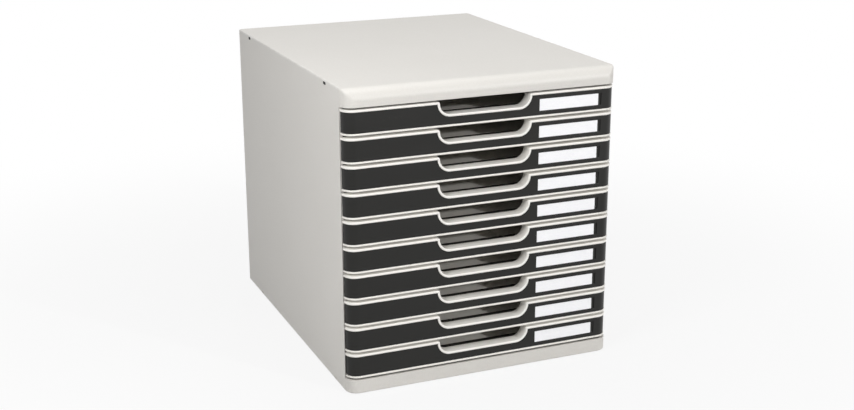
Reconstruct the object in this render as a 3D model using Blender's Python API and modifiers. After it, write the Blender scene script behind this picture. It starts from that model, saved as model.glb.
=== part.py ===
"""A desktop file drawer: a moulded housing that holds a stack of shallow drawers for A4 files.

Metres, +Z up. X runs across the front, the drawers slide out along -Y, and the origin is at the
centre of the footprint, on the surface that the feet stand on.
"""

from math import acos, asin, cos, pi, sin, sqrt

import bmesh
import bpy
from mathutils import Matrix, Vector

# Housing
WIDTH = 0.288
DEPTH = 0.360
WALL = 0.003
CAP_HEIGHT = 0.0175
PLINTH_HEIGHT = 0.014
CORNER_RADIUS = 0.012
CAP_ROUND = 0.012
BACK_CORNER_RADIUS = 0.004
EDGE_RADIUS = 0.0015

# Stack of drawers
DRAWER_COUNT = 10
FRONT_HEIGHT = 0.0246
FRONT_GAP = 0.0024
STACK_GAP = 0.002

# Drawer front
FRONT_SIDE_GAP = 0.0004
REST_GAP = 0.0003
LIP_TOP = 0.0024
LIP_BOTTOM = 0.002
LIP_ROUND = 0.0006
FRONT_WALL_FACE = 0.0097
THROAT_DEPTH = 0.0125

# Finger cut in the top of each front
SCOOP_WIDTH_SHARE = 0.3299
SCOOP_RADIUS = 0.0111
KNEE_RADIUS = 0.0015

# Black facing strip
FACING_SINK = 0.0006
FACING_THICKNESS = 0.002
FACING_FIT = 0.00025

# Label card and its recess
LABEL_SCOOP_MARGIN = 0.0107
LABEL_END_MARGIN = 0.0204
LABEL_HEIGHT = 0.0116
LABEL_THICKNESS = 0.0004
LABEL_FIT = 0.0003
LABEL_RECESS = 0.001
THUMB_GAP = 0.0033

# Tray
TRAY_LIFT = 0.0015
TRAY_FLOOR = 0.002
TRAY_WALL = 0.002
TRAY_SIDE_TOP = 0.0195
TRAY_INNER_CORNER = 0.006
TRAY_FLOOR_ROUND = 0.002
TRAY_OUTER_CORNER = 0.004
TRAY_BACK_CLEARANCE = 0.006
FLANGE_THICKNESS = 0.002
FLANGE_CLEARANCE = 0.002
FLANGE_START = 0.022

# Runners moulded on the side walls, and the stops
LEDGE_WIDTH = 0.008
LEDGE_THICKNESS = 0.002
LEDGE_TRAY_CLEARANCE = 0.002
GUIDE_CLEARANCE = 0.0005
GUIDE_THICKNESS = 0.0016
RUNNER_START = 0.014
RUNNER_BACK_MARGIN = 0.008
STOP_LENGTH = 0.006
STOP_SETBACK = 0.0005
STOP_DROP = 0.0042
LUG_HEIGHT = 0.0034
LUG_LENGTH = 0.006
LUG_CLEARANCE = 0.0004
TRAVEL = 0.250

# Back panel
BACK_PANEL_THICKNESS = 0.0026
BACK_RABBET = 0.0012
BACK_INSET = 0.0006
BACK_FIELD_MARGIN = 0.014
BACK_FIELD_SINK = 0.0008
BACK_FIELD_RADIUS = 0.006
BACK_CLIP_WIDTH = 0.012
BACK_CLIP_LENGTH = 0.005
BACK_CLIP_THICKNESS = 0.0016
BACK_CLIP_PLACE_SHARES = (-0.30, 0.30)

# Link-clip holes near the edges of the side walls
LINK_HOLE_RADIUS = 0.0015
LINK_HOLE_DROP = 0.0048
LINK_HOLE_PLACE_SHARES = (-0.353, 0.372)
LINK_SLOT_PLACE_SHARES = (-0.389, 0.333)
LINK_SLOT_LENGTH = 0.007
LINK_SLOT_HEIGHT = 0.0018
LINK_SLOT_RISE = 0.0008
LINK_SLOT_DEPTH = 0.0015

# Feet
FOOT_RADIUS = 0.007
FOOT_THICKNESS = 0.0018
FOOT_PROUD = 0.0008
FOOT_FIT = 0.0003
FOOT_INSET = 0.022

# Steps in the round stretches
CORNER_STEPS = 8
SMALL_STEPS = 3
EDGE_STEPS = 2
SCOOP_STEPS = 8
KNEE_STEPS = 2
ROUND_STEPS = 16
FOOT_STEPS = 24

# Helpers for the solids
OVERRUN = 0.004
ROOT_OVERLAP = 0.0006
WELD = 0.000002
SLIVER = 0.00001
CREASE_ANGLE = 0.6
FLAT_ANGLE = 0.002

# Sizes that follow from those above
PITCH = FRONT_HEIGHT + FRONT_GAP
BASE = FOOT_PROUD
STACK_BASE = BASE + PLINTH_HEIGHT + STACK_GAP
STACK_TOP = STACK_BASE + DRAWER_COUNT * PITCH - FRONT_GAP
CAP_BASE = STACK_TOP + STACK_GAP
HEIGHT = CAP_BASE + CAP_HEIGHT
HALF = WIDTH / 2
FRONT = -DEPTH / 2
BACK = DEPTH / 2
INNER_HALF = HALF - WALL
FRONT_HALF = HALF - FRONT_SIDE_GAP
FRONT_DEPTH = CORNER_RADIUS - REST_GAP
TRAY_HALF = INNER_HALF - LEDGE_WIDTH - LEDGE_TRAY_CLEARANCE
FLANGE_HALF = INNER_HALF - FLANGE_CLEARANCE
PANEL_SEAT = DEPTH - BACK_PANEL_THICKNESS - BACK_INSET - REST_GAP
TRAY_BACK = PANEL_SEAT - TRAY_BACK_CLEARANCE
FLANGE_BASE = TRAY_SIDE_TOP - FLANGE_THICKNESS
LEDGE_TOP = FLANGE_BASE - REST_GAP
LEDGE_BASE = LEDGE_TOP - LEDGE_THICKNESS
GUIDE_BASE = TRAY_SIDE_TOP + GUIDE_CLEARANCE
LEDGE_EDGE = INNER_HALF - LEDGE_WIDTH
LUG_FACE = RUNNER_START + STOP_SETBACK + STOP_LENGTH + TRAVEL + REST_GAP
POCKET_TOP = FRONT_HEIGHT - LIP_TOP
SCOOP_AXIS_Z = FRONT_HEIGHT - KNEE_RADIUS
SCOOP_HALF = SCOOP_WIDTH_SHARE * HALF
SCOOP_AXIS_X = SCOOP_HALF - SCOOP_RADIUS
FRONT_AXIS = FRONT_HALF - CORNER_RADIUS
LABEL_LEFT = SCOOP_HALF + LABEL_SCOOP_MARGIN
LABEL_LENGTH = FRONT_HALF - LABEL_END_MARGIN - LABEL_LEFT

PART_NAME = "desktop_file_drawer"


def linear(red, green, blue):
    """An 8-bit screen colour as the linear colour that a shader takes."""
    full, knee, slope, offset, power = 255, 0.04045, 12.92, 0.055, 2.4
    shares = [value / full for value in (red, green, blue)]
    return [s / slope if s <= knee else ((s + offset) / (1 + offset)) ** power for s in shares] + [1]


def plastic(name, colour, roughness, specular=0.5):
    """A Principled material with no metal in it."""
    material = bpy.data.materials.new(name)
    material.use_nodes = True
    shader = material.node_tree.nodes["Principled BSDF"]
    shader.inputs["Base Color"].default_value = colour
    shader.inputs["Roughness"].default_value = roughness
    shader.inputs["Metallic"].default_value = 0
    shader.inputs["Specular IOR Level"].default_value = specular
    material.diffuse_color = colour
    return material


def start():
    """Empties the scene and makes the two collections, for the parts and for the cutters."""
    for old in list(bpy.data.objects):
        bpy.data.objects.remove(old)
    made = []
    for name in (PART_NAME, "cutters"):
        collection = bpy.data.collections.new(name)
        bpy.context.scene.collection.children.link(collection)
        made.append(collection)
    return made


PARTS, CUTTERS = start()


def as_object(name, bm, collection):
    """Closes a bmesh into an object, with its faces pointing outwards."""
    bmesh.ops.recalc_face_normals(bm, faces=bm.faces)
    mesh = bpy.data.meshes.new(name)
    bm.to_mesh(mesh)
    bm.free()
    made = bpy.data.objects.new(name, mesh)
    collection.objects.link(made)
    if collection == CUTTERS:
        made.hide_render = True
        made.display_type = "WIRE"
    return made


def round_off(bm, wanted, radius, steps):
    """Rounds the edges that the test picks."""
    edges = [edge for edge in bm.edges if wanted(edge)]
    bmesh.ops.bevel(bm, geom=edges, offset=radius, offset_type="OFFSET", segments=steps,
                    profile=0.5, affect="EDGES", clamp_overlap=True, material=-1)


def runs_along(axis):
    """A test for the edges that run along X, Y or Z."""
    index = "XYZ".index(axis)

    def test(edge):
        run = edge.verts[1].co - edge.verts[0].co
        return abs(run[index]) > run.length / 2
    return test


def lies_at(height):
    """A test for the edges that lie level at one height."""
    return lambda edge: all(abs(vert.co.z - height) < WELD for vert in edge.verts)


def blocks(name, corners, collection=CUTTERS, rounds=()):
    """Boxes, each between two corners. rounds holds (edge test, radius, steps), taken in order."""
    bm = bmesh.new()
    for low, high in corners:
        low, high = Vector(low), Vector(high)
        place = Matrix.Translation((high + low) / 2) @ Matrix.Diagonal((*(high - low), 1))
        bmesh.ops.create_cube(bm, size=1, matrix=place)
    for wanted, radius, steps in rounds:
        round_off(bm, wanted, radius, steps)
    return as_object(name, bm, collection)


def block(name, low, high, collection=CUTTERS, rounds=()):
    """One box between two corners."""
    return blocks(name, [(low, high)], collection, rounds)


def disc(name, centre, radius, length, axis, steps, collection=CUTTERS):
    """A cylinder about its centre, along X, Y or Z."""
    bm = bmesh.new()
    bmesh.ops.create_cone(bm, cap_ends=True, segments=steps, radius1=radius, radius2=radius,
                          depth=length)
    turn = {"X": Matrix.Rotation(pi / 2, 3, "Y"), "Y": Matrix.Rotation(pi / 2, 3, "X"),
            "Z": Matrix.Identity(3)}[axis]
    bmesh.ops.rotate(bm, matrix=turn, verts=bm.verts)
    bmesh.ops.translate(bm, vec=Vector(centre), verts=bm.verts)
    return as_object(name, bm, collection)


def prism(name, outline, low, high, along, collection=CUTTERS):
    """A flat outline given thickness from low to high: XY points along Z, XZ along Y, YZ along X."""
    frames = {"Z": ((1, 0, 0), (0, 1, 0), (0, 0, 1)),
              "Y": ((1, 0, 0), (0, 0, 1), (0, -1, 0)),
              "X": ((0, 1, 0), (0, 0, 1), (1, 0, 0))}
    curve = bpy.data.curves.new(name, "CURVE")
    curve.dimensions = "2D"
    curve.fill_mode = "BOTH"
    curve.extrude = (high - low) / 2
    spline = curve.splines.new("POLY")
    spline.points.add(len(outline) - 1)
    for point, (across, up) in zip(spline.points, outline):
        point.co = (across, up, 0, 1)
    spline.use_cyclic_u = True
    guide = bpy.data.objects.new(name + "_outline", curve)
    CUTTERS.objects.link(guide)
    turn = Matrix(frames[along]).transposed().to_4x4()
    middle = (high + low) / 2
    turn.translation = {"X": (middle, 0, 0), "Y": (0, middle, 0), "Z": (0, 0, middle)}[along]
    guide.matrix_world = turn
    bpy.context.view_layer.update()
    filled = guide.evaluated_get(bpy.context.evaluated_depsgraph_get())
    mesh = bpy.data.meshes.new_from_object(filled)
    mesh.transform(guide.matrix_world)
    bm = bmesh.new()
    bm.from_mesh(mesh)
    bmesh.ops.remove_doubles(bm, verts=bm.verts, dist=WELD)
    bmesh.ops.dissolve_limit(bm, angle_limit=FLAT_ANGLE, verts=bm.verts, edges=bm.edges)
    bpy.data.objects.remove(guide)
    bpy.data.meshes.remove(mesh)
    return as_object(name, bm, collection)


def boolean(target, other, operation):
    """Adds one Boolean with another solid to the target."""
    modifier = target.modifiers.new(other.name, "BOOLEAN")
    modifier.operation = operation
    modifier.solver = "EXACT"
    modifier.object = other


def cut(target, *cutters):
    for cutter in cutters:
        boolean(target, cutter, "DIFFERENCE")


def fuse(target, *additions):
    for addition in additions:
        boolean(target, addition, "UNION")


def settle(target):
    """Takes the modifiers into the mesh, so that copies can share it."""
    bpy.context.view_layer.update()
    shaped = target.evaluated_get(bpy.context.evaluated_depsgraph_get())
    mesh = bpy.data.meshes.new_from_object(shaped)
    mesh.name = target.name
    target.modifiers.clear()
    target.data = mesh
    return mesh


def finish(target, material):
    """Gives a piece its material and shades its round stretches smooth."""
    target.data.materials.clear()
    target.data.materials.append(material)
    target.data.shade_smooth()
    target.data.set_sharp_from_angle(angle=CREASE_ANGLE)


def arc(centre, radius, start, end, steps):
    """Points on a circle about (across, up), from one angle to another, both ends in."""
    turn = (end - start) / steps
    return [(centre[0] + radius * cos(start + turn * i), centre[1] + radius * sin(start + turn * i))
            for i in range(steps + 1)]


# Housing


def housing_plan(inset, back):
    """The housing's outline from above, moved in by inset, with its back edge at back."""
    side, front = HALF - inset, FRONT + inset
    radius = CORNER_RADIUS - inset
    outline = arc((side - radius, front + radius), radius, 0, -pi / 2, CORNER_STEPS)
    outline += arc((-side + radius, front + radius), radius, -pi / 2, -pi, CORNER_STEPS)
    if inset:
        return outline + [(-side, back), (side, back)]
    corner = BACK_CORNER_RADIUS
    outline += arc((-side + corner, back - corner), corner, pi, pi / 2, SMALL_STEPS)
    return outline + arc((side - corner, back - corner), corner, pi / 2, 0, SMALL_STEPS)


def cap_round(name, inset):
    """What is cut away in front of the large round along the cap's upper front edge."""
    front, high = FRONT + inset, HEIGHT - inset
    radius = CAP_ROUND - inset
    outline = arc((front + radius, high - radius), radius, pi, pi / 2, CORNER_STEPS)
    outline += [(front + radius, high + OVERRUN), (front - OVERRUN, high + OVERRUN)]
    outline += [(front - OVERRUN, high - radius)]
    return prism(name, outline, -HALF - OVERRUN, HALF + OVERRUN, "X")


def housing_form(name, inset, back, collection):
    """The upright outline less the cap's round: their crease runs down the cap's front corners."""
    form = prism(name, housing_plan(inset, back), BASE + inset, HEIGHT - inset, "Z", collection)
    cut(form, cap_round(name + "_cap_round", inset))
    weld = form.modifiers.new("weld", "WELD")
    weld.merge_threshold = SLIVER
    return form


def drawer_base(index):
    """The height of the lower edge of a drawer's front, counted from the top drawer."""
    return STACK_BASE + (DRAWER_COUNT - 1 - index) * PITCH


def on_both_walls(inner, start_y, end_y, low, high):
    """Two boxes that stand out from the side walls to inner, with their roots in the walls."""
    root = INNER_HALF + ROOT_OVERLAP
    return [((inner, start_y, low), (root, end_y, high)), ((-root, start_y, low), (-inner, end_y, high))]


def runners():
    """For each drawer and side, the ledge under the tray's flange and the guide above it."""
    corners = []
    for index in range(DRAWER_COUNT):
        base = drawer_base(index)
        for low, high in ((GUIDE_BASE, GUIDE_BASE + GUIDE_THICKNESS), (LEDGE_BASE, LEDGE_TOP)):
            corners += on_both_walls(LEDGE_EDGE, FRONT + RUNNER_START, BACK - RUNNER_BACK_MARGIN,
                                     base + low, base + high)
    return blocks("runners", corners)


def stops():
    """The stop that hangs under the front end of each ledge, where the tray's lug meets it."""
    corners = []
    near = FRONT + RUNNER_START + STOP_SETBACK
    for index in range(DRAWER_COUNT):
        base = drawer_base(index)
        corners += on_both_walls(LEDGE_EDGE + LUG_CLEARANCE, near, near + STOP_LENGTH,
                                 base + LEDGE_BASE - STOP_DROP, base + LEDGE_TOP - ROOT_OVERLAP)
    return blocks("stops", corners)


def foot_places():
    """The four corners of the underside where the feet sit, by name."""
    across, along = HALF - FOOT_INSET, BACK - FOOT_INSET
    return {"front_left": (-across, -along), "front_right": (across, -along),
            "back_left": (-across, along), "back_right": (across, along)}


def housing_shell(material):
    """The moulded sleeve: cap, side walls, floor and plinth in one, open in front for the drawers."""
    shell = housing_form("housing_shell", 0, BACK, PARTS)
    edges = shell.modifiers.new("edges", "BEVEL")
    edges.width = EDGE_RADIUS
    edges.segments = EDGE_STEPS
    edges.limit_method = "ANGLE"
    edges.angle_limit = CREASE_ANGLE
    bay = block("drawer_bay", (-HALF - OVERRUN, FRONT - OVERRUN, BASE + PLINTH_HEIGHT),
                (HALF + OVERRUN, FRONT + CORNER_RADIUS, CAP_BASE))
    cavity = housing_form("cavity", WALL, BACK + OVERRUN, CUTTERS)
    seat = WALL - BACK_RABBET
    rabbet = block("back_rabbet", (-HALF + seat, FRONT + PANEL_SEAT, BASE + seat),
                   (HALF - seat, BACK + OVERRUN, HEIGHT - seat))
    cut(shell, bay, cavity, rabbet)
    fuse(shell, runners(), stops())
    for index, share in enumerate(LINK_HOLE_PLACE_SHARES):
        place = share * DEPTH
        cut(shell, disc(f"link_hole_{index}", (0, place, HEIGHT - LINK_HOLE_DROP), LINK_HOLE_RADIUS,
                        WIDTH + OVERRUN, "X", ROUND_STEPS))
    low, high = BASE + LINK_SLOT_RISE, BASE + LINK_SLOT_RISE + LINK_SLOT_HEIGHT
    inner, outer = HALF - LINK_SLOT_DEPTH, HALF + OVERRUN
    slots = []
    for share in LINK_SLOT_PLACE_SHARES:
        near = share * DEPTH - LINK_SLOT_LENGTH / 2
        far = near + LINK_SLOT_LENGTH
        slots += [((inner, near, low), (outer, far, high)), ((-outer, near, low), (-inner, far, high))]
    cut(shell, blocks("link_slots", slots))
    socket_top = FOOT_THICKNESS + FOOT_FIT
    for name, (across, along) in foot_places().items():
        cut(shell, disc(f"foot_socket_{name}", (across, along, 0), FOOT_RADIUS + FOOT_FIT,
                        2 * socket_top, "Z", FOOT_STEPS))
    settle(shell)
    finish(shell, material)
    return shell


def back_panel(material):
    """The panel that closes the sleeve behind, held by two pairs of clips."""
    seat = WALL - BACK_RABBET + REST_GAP
    near, far = FRONT + PANEL_SEAT + REST_GAP, BACK - BACK_INSET
    low, high = BASE + seat, HEIGHT - seat
    panel = block("back_panel", (-HALF + seat, near, low), (HALF - seat, far, high), PARTS)
    margin = seat + BACK_FIELD_MARGIN
    cut(panel, block("back_field", (-HALF + margin, far - BACK_FIELD_SINK, BASE + margin),
                     (HALF - margin, far + OVERRUN, HEIGHT - margin),
                     rounds=[(runs_along("Y"), BACK_FIELD_RADIUS, SMALL_STEPS)]))
    reach = near - BACK_CLIP_LENGTH
    wall_low, wall_high = BASE + WALL + REST_GAP, HEIGHT - WALL - REST_GAP
    for index, share in enumerate(BACK_CLIP_PLACE_SHARES):
        left = share * WIDTH - BACK_CLIP_WIDTH / 2
        for name, base in (("low", wall_low), ("high", wall_high - BACK_CLIP_THICKNESS)):
            fuse(panel, block(f"back_clip_{name}_{index}", (left, reach, base),
                              (left + BACK_CLIP_WIDTH, near + ROOT_OVERLAP, base + BACK_CLIP_THICKNESS)))
    settle(panel)
    finish(panel, material)
    return panel


def foot(name, place, material):
    """A rubber pad set in the underside, standing a little proud of it."""
    made = disc(f"foot_{name}", (*place, FOOT_THICKNESS / 2), FOOT_RADIUS, FOOT_THICKNESS, "Z",
                FOOT_STEPS, PARTS)
    finish(made, material)
    return made


# Drawers, about a point in the front plane at the lower edge of the front


def front_path(inset, depth):
    """The front seen from above, from its left end round to its right end, moved in by inset."""
    radius = CORNER_RADIUS - inset
    reach = acos((CORNER_RADIUS - depth) / radius)
    left = arc((-FRONT_AXIS, CORNER_RADIUS), radius, -pi / 2 - reach, -pi / 2, CORNER_STEPS)
    right = arc((FRONT_AXIS, CORNER_RADIUS), radius, -pi / 2, -pi / 2 + reach, CORNER_STEPS)
    return left + right


def finger_curve(grow, start_angle):
    """The lower curve of the finger cut, left to right, moved out by grow."""
    radius = SCOOP_RADIUS + grow
    left = arc((-SCOOP_AXIS_X, SCOOP_AXIS_Z), radius, pi + start_angle, 3 * pi / 2, SCOOP_STEPS)
    right = arc((SCOOP_AXIS_X, SCOOP_AXIS_Z), radius, 3 * pi / 2, 2 * pi - start_angle, SCOOP_STEPS)
    return left + right


def finger_cut(name, grow, depth):
    """The cutter for the finger cut. With no growth it also rounds the knees at its upper ends."""
    curve = finger_curve(grow, 0)
    above = FRONT_HEIGHT + OVERRUN
    if grow:
        edge = SCOOP_HALF + grow
        outline = [(-edge, above)] + curve + [(edge, above)]
    else:
        knee = SCOOP_HALF + KNEE_RADIUS
        left = arc((-knee, SCOOP_AXIS_Z), KNEE_RADIUS, pi / 2, 0, KNEE_STEPS)
        right = arc((knee, SCOOP_AXIS_Z), KNEE_RADIUS, pi, pi / 2, KNEE_STEPS)
        outline = [(-knee, above)] + left[:-1] + curve + right[1:] + [(knee, above)]
    return prism(name, outline, -OVERRUN, depth, "Y")


def pocket(name, reach, low, depth):
    """The room behind the black strip, between the lips and under the finger cut's own lip."""
    meets = asin((SCOOP_AXIS_Z - POCKET_TOP) / (SCOOP_RADIUS + LIP_TOP))
    outline = [(reach, POCKET_TOP), (reach, low), (-reach, low), (-reach, POCKET_TOP)]
    return prism(name, outline + finger_curve(LIP_TOP, meets), -OVERRUN, depth, "Y")


def tray_mesh(material):
    """The moulded drawer: tray, side flanges, stop lugs and the front with its swept lips."""
    tray = prism("tray", front_path(0, FRONT_DEPTH), 0, FRONT_HEIGHT, "Z", PARTS)
    lips = tray.modifiers.new("lips", "BEVEL")
    lips.width = LIP_ROUND
    lips.segments = EDGE_STEPS
    lips.limit_method = "ANGLE"
    lips.angle_limit = CREASE_ANGLE
    inside = THROAT_DEPTH - ROOT_OVERLAP
    throat = block("throat", (-TRAY_HALF, FRONT_DEPTH - ROOT_OVERLAP, TRAY_LIFT),
                   (TRAY_HALF, THROAT_DEPTH, FRONT_HEIGHT - LIP_ROUND))
    body = block("tray_body", (-TRAY_HALF, inside, TRAY_LIFT), (TRAY_HALF, TRAY_BACK, TRAY_SIDE_TOP),
                 rounds=[(lambda edge: runs_along("Z")(edge) and edge.verts[0].co.y > inside,
                          TRAY_OUTER_CORNER, SMALL_STEPS)])
    flange = block("flange", (-FLANGE_HALF, FLANGE_START, FLANGE_BASE),
                   (FLANGE_HALF, TRAY_BACK - TRAY_OUTER_CORNER, TRAY_SIDE_TOP))
    lug_top = LEDGE_BASE - LUG_CLEARANCE
    lugs = block("stop_lugs", (-FLANGE_HALF, LUG_FACE, lug_top - LUG_HEIGHT),
                 (FLANGE_HALF, LUG_FACE + LUG_LENGTH, lug_top))
    fuse(tray, throat, body, flange, lugs)
    inner = TRAY_HALF - TRAY_WALL
    floor = TRAY_LIFT + TRAY_FLOOR
    hollow = block("tray_hollow", (-inner, THROAT_DEPTH, floor),
                   (inner, TRAY_BACK - TRAY_WALL, FRONT_HEIGHT + OVERRUN),
                   rounds=[(runs_along("Z"), TRAY_INNER_CORNER, SMALL_STEPS),
                           (lies_at(floor), TRAY_FLOOR_ROUND, EDGE_STEPS)])
    inside_facing = CORNER_RADIUS - FACING_SINK - FACING_THICKNESS - REST_GAP
    end = FRONT_AXIS + sqrt(inside_facing ** 2 - (CORNER_RADIUS - FRONT_WALL_FACE) ** 2)
    ends = [block(f"front_end_{name}", (min(a, b), -OVERRUN, LIP_BOTTOM),
                  (max(a, b), FRONT_DEPTH + OVERRUN, POCKET_TOP))
            for name, a, b in (("left", -end, -HALF - OVERRUN), ("right", end, HALF + OVERRUN))]
    room = pocket("facing_room", FRONT_HALF + OVERRUN, LIP_BOTTOM, FRONT_WALL_FACE)
    core = pocket("front_core", inner, floor, THROAT_DEPTH - TRAY_WALL)
    scoop = finger_cut("scoop", 0, THROAT_DEPTH + OVERRUN)
    cut(tray, hollow, room, *ends, core, scoop)
    mesh = settle(tray)
    finish(tray, material)
    bpy.data.objects.remove(tray)
    return mesh


def facing_mesh(material):
    """The black strip between the lips: it wraps both corners and follows the finger cut."""
    depth = FRONT_DEPTH - REST_GAP
    outline = front_path(FACING_SINK, depth)
    outline += front_path(FACING_SINK + FACING_THICKNESS, depth)[::-1]
    strip = prism("facing", outline, LIP_BOTTOM + FACING_FIT, POCKET_TOP - FACING_FIT, "Z", PARTS)
    scoop = finger_cut("facing_scoop", LIP_TOP + FACING_FIT, FRONT_WALL_FACE)
    left, right = LABEL_LEFT - LABEL_FIT, LABEL_LEFT + LABEL_LENGTH + THUMB_GAP
    low = label_base() - LABEL_FIT
    recess = block("label_recess", (left, -OVERRUN, low),
                   (right, FACING_SINK + LABEL_RECESS, low + LABEL_HEIGHT + 2 * LABEL_FIT))
    cut(strip, scoop, recess)
    mesh = settle(strip)
    finish(strip, material)
    bpy.data.objects.remove(strip)
    return mesh


def label_base():
    """The height of the card's lower edge: it sits midway between the lips."""
    return (LIP_BOTTOM + POCKET_TOP - LABEL_HEIGHT) / 2


def label_mesh(material):
    """The stiff white card in its recess."""
    back = FACING_SINK + LABEL_RECESS - REST_GAP
    card = block("label", (LABEL_LEFT, back - LABEL_THICKNESS, label_base()),
                 (LABEL_LEFT + LABEL_LENGTH, back, label_base() + LABEL_HEIGHT), PARTS)
    finish(card, material)
    mesh = card.data
    bpy.data.objects.remove(card)
    return mesh


def drawer(index, meshes):
    """One drawer's pieces under an empty that slides along the front's lower edge."""
    number = f"{index + 1:02d}"
    slide = bpy.data.objects.new(f"drawer_{number}_slide", None)
    PARTS.objects.link(slide)
    slide.location = (0, FRONT, drawer_base(index))
    for piece, mesh in meshes.items():
        made = bpy.data.objects.new(f"{piece}_{number}", mesh)
        PARTS.objects.link(made)
        made.parent = slide


def main():
    grey = plastic("housing_grey", linear(214, 211, 206), 0.42)
    cream = plastic("drawer_cream", linear(236, 232, 224), 0.38)
    black = plastic("facing_black", linear(44, 43, 40), 0.34)
    card = plastic("label_white", linear(244, 244, 246), 0.7, 0.3)
    rubber = plastic("foot_rubber", linear(38, 38, 38), 0.8, 0.3)
    housing_shell(grey)
    back_panel(grey)
    for name, place in foot_places().items():
        foot(name, place, rubber)
    meshes = {"drawer_tray": tray_mesh(cream), "drawer_facing": facing_mesh(black),
              "label_card": label_mesh(card)}
    for index in range(DRAWER_COUNT):
        drawer(index, meshes)


main()
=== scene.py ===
"""A desktop file drawer: a moulded grey housing and its ten drawers, dressed, lit and framed.

Metres, +Z up. X runs across the front, the drawers slide out along -Y, and the origin is at the
centre of the footprint, on the surface that the feet stand on.
"""

from math import acos, asin, cos, degrees, pi, radians, sin, sqrt

import bmesh
import bpy
from mathutils import Euler, Matrix, Vector


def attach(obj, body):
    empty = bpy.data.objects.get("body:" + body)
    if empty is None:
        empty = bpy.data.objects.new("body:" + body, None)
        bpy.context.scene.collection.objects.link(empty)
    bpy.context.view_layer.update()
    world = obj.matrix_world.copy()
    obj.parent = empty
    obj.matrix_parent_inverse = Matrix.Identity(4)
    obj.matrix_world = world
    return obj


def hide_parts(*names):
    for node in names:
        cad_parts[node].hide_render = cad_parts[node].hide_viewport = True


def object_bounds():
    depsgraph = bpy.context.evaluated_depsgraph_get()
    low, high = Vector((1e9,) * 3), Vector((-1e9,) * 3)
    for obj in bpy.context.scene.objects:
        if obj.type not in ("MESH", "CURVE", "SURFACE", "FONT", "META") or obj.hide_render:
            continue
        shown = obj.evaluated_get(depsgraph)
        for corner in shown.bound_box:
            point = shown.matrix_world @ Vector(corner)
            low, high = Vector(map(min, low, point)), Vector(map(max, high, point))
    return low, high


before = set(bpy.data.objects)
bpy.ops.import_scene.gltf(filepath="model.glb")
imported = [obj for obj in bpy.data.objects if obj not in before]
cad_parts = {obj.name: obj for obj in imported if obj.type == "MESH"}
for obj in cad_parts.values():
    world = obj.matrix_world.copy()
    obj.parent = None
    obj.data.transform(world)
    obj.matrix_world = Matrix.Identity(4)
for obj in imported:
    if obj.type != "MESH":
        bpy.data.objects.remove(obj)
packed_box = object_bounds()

# Housing
WIDTH, DEPTH = 0.288, 0.360
WALL = 0.003
CAP_HEIGHT, PLINTH_HEIGHT = 0.0175, 0.014
CORNER_RADIUS = 0.012
CAP_ROUND = 0.012
BACK_CORNER_RADIUS = 0.004
EDGE_RADIUS = 0.0015
RIM_RADIUS = 0.0003

# Stack of drawers
DRAWER_COUNT = 10
FRONT_HEIGHT, FRONT_GAP = 0.0246, 0.0024
STACK_GAP = 0.002
PITCH = FRONT_HEIGHT + FRONT_GAP

# Drawer front
LIP_TOP, LIP_BOTTOM = 0.0024, 0.002
LIP_ROUND = 0.0008
FRONT_SIDE_GAP, REST_GAP = 0.0004, 0.0003
WALL_FACE = 0.0097
FRONT_DEPTH = 0.0117
FRONT_END_DEPTH = 0.0109
THROAT_DEPTH = 0.0125
THROAT_TOP_DROP, THROAT_FOOT_RISE, THROAT_SIDE_GAP = 0.0006, 0.0017, 0.0001
SCOOP_HALF, SCOOP_RADIUS, KNEE_RADIUS = 0.0475, 0.0111, 0.0015

# Facing strip and label card
FACING_SINK, FACING_THICKNESS, FACING_FIT, FACING_ROUND = 0.0006, 0.002, 0.00025, 0.0003
FACING_END_DEPTH = 0.0114
LABEL_LEFT, LABEL_LENGTH, LABEL_HEIGHT = 0.0582, 0.065, 0.0116
LABEL_THICKNESS, LABEL_FIT, LABEL_RECESS, THUMB_GAP = 0.0004, 0.0003, 0.001, 0.0033
LABEL_CORNER, LABEL_ROUND = 0.0004, 0.00008

# Black ledge behind the finger cut, painted shade: a dark sheet where the floor behind the throat lies in
# shadow
SHADE_LEDGE_DEPTH, SHADE_LEDGE_THICKNESS, SHADE_LEDGE_DROP, SHADE_LEDGE_REACH = 0.0075, 0.0024, 0.0004, 0.003
SHADE_LEDGE_CORNER, SHADE_LEDGE_ROUND, SHADE_LEDGE_NAME = 0.003, 0.0004, "painted_shade_ledge"

# Tray
TRAY_LIFT, TRAY_FLOOR, TRAY_WALL, TRAY_LAP = 0.0015, 0.002, 0.002, 0.00003
TRAY_HALF, FLANGE_HALF = 0.131, 0.139
TRAY_SIDE_TOP = 0.0195
TRAY_BACK = 0.3505
TRAY_INNER_CORNER, TRAY_OUTER_CORNER, TRAY_FLOOR_ROUND = 0.006, 0.004, 0.002
FLANGE_START, FLANGE_THICKNESS = 0.022, 0.002
LUG_FACE, LUG_LENGTH, LUG_TOP, LUG_HEIGHT = 0.2708, 0.006, 0.0148, 0.0034

# Runners and stops inside the side walls
RUNNER_INNER, RUNNER_START, RUNNER_BACK_MARGIN = 0.133, 0.014, 0.008
LEDGE_SPAN, GUIDE_SPAN = (0.0152, 0.0172), (0.02, 0.0216)
STOP_SETBACK, STOP_LENGTH, STOP_DROP, STOP_INSET = 0.0005, 0.006, 0.0042, 0.0004

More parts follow.
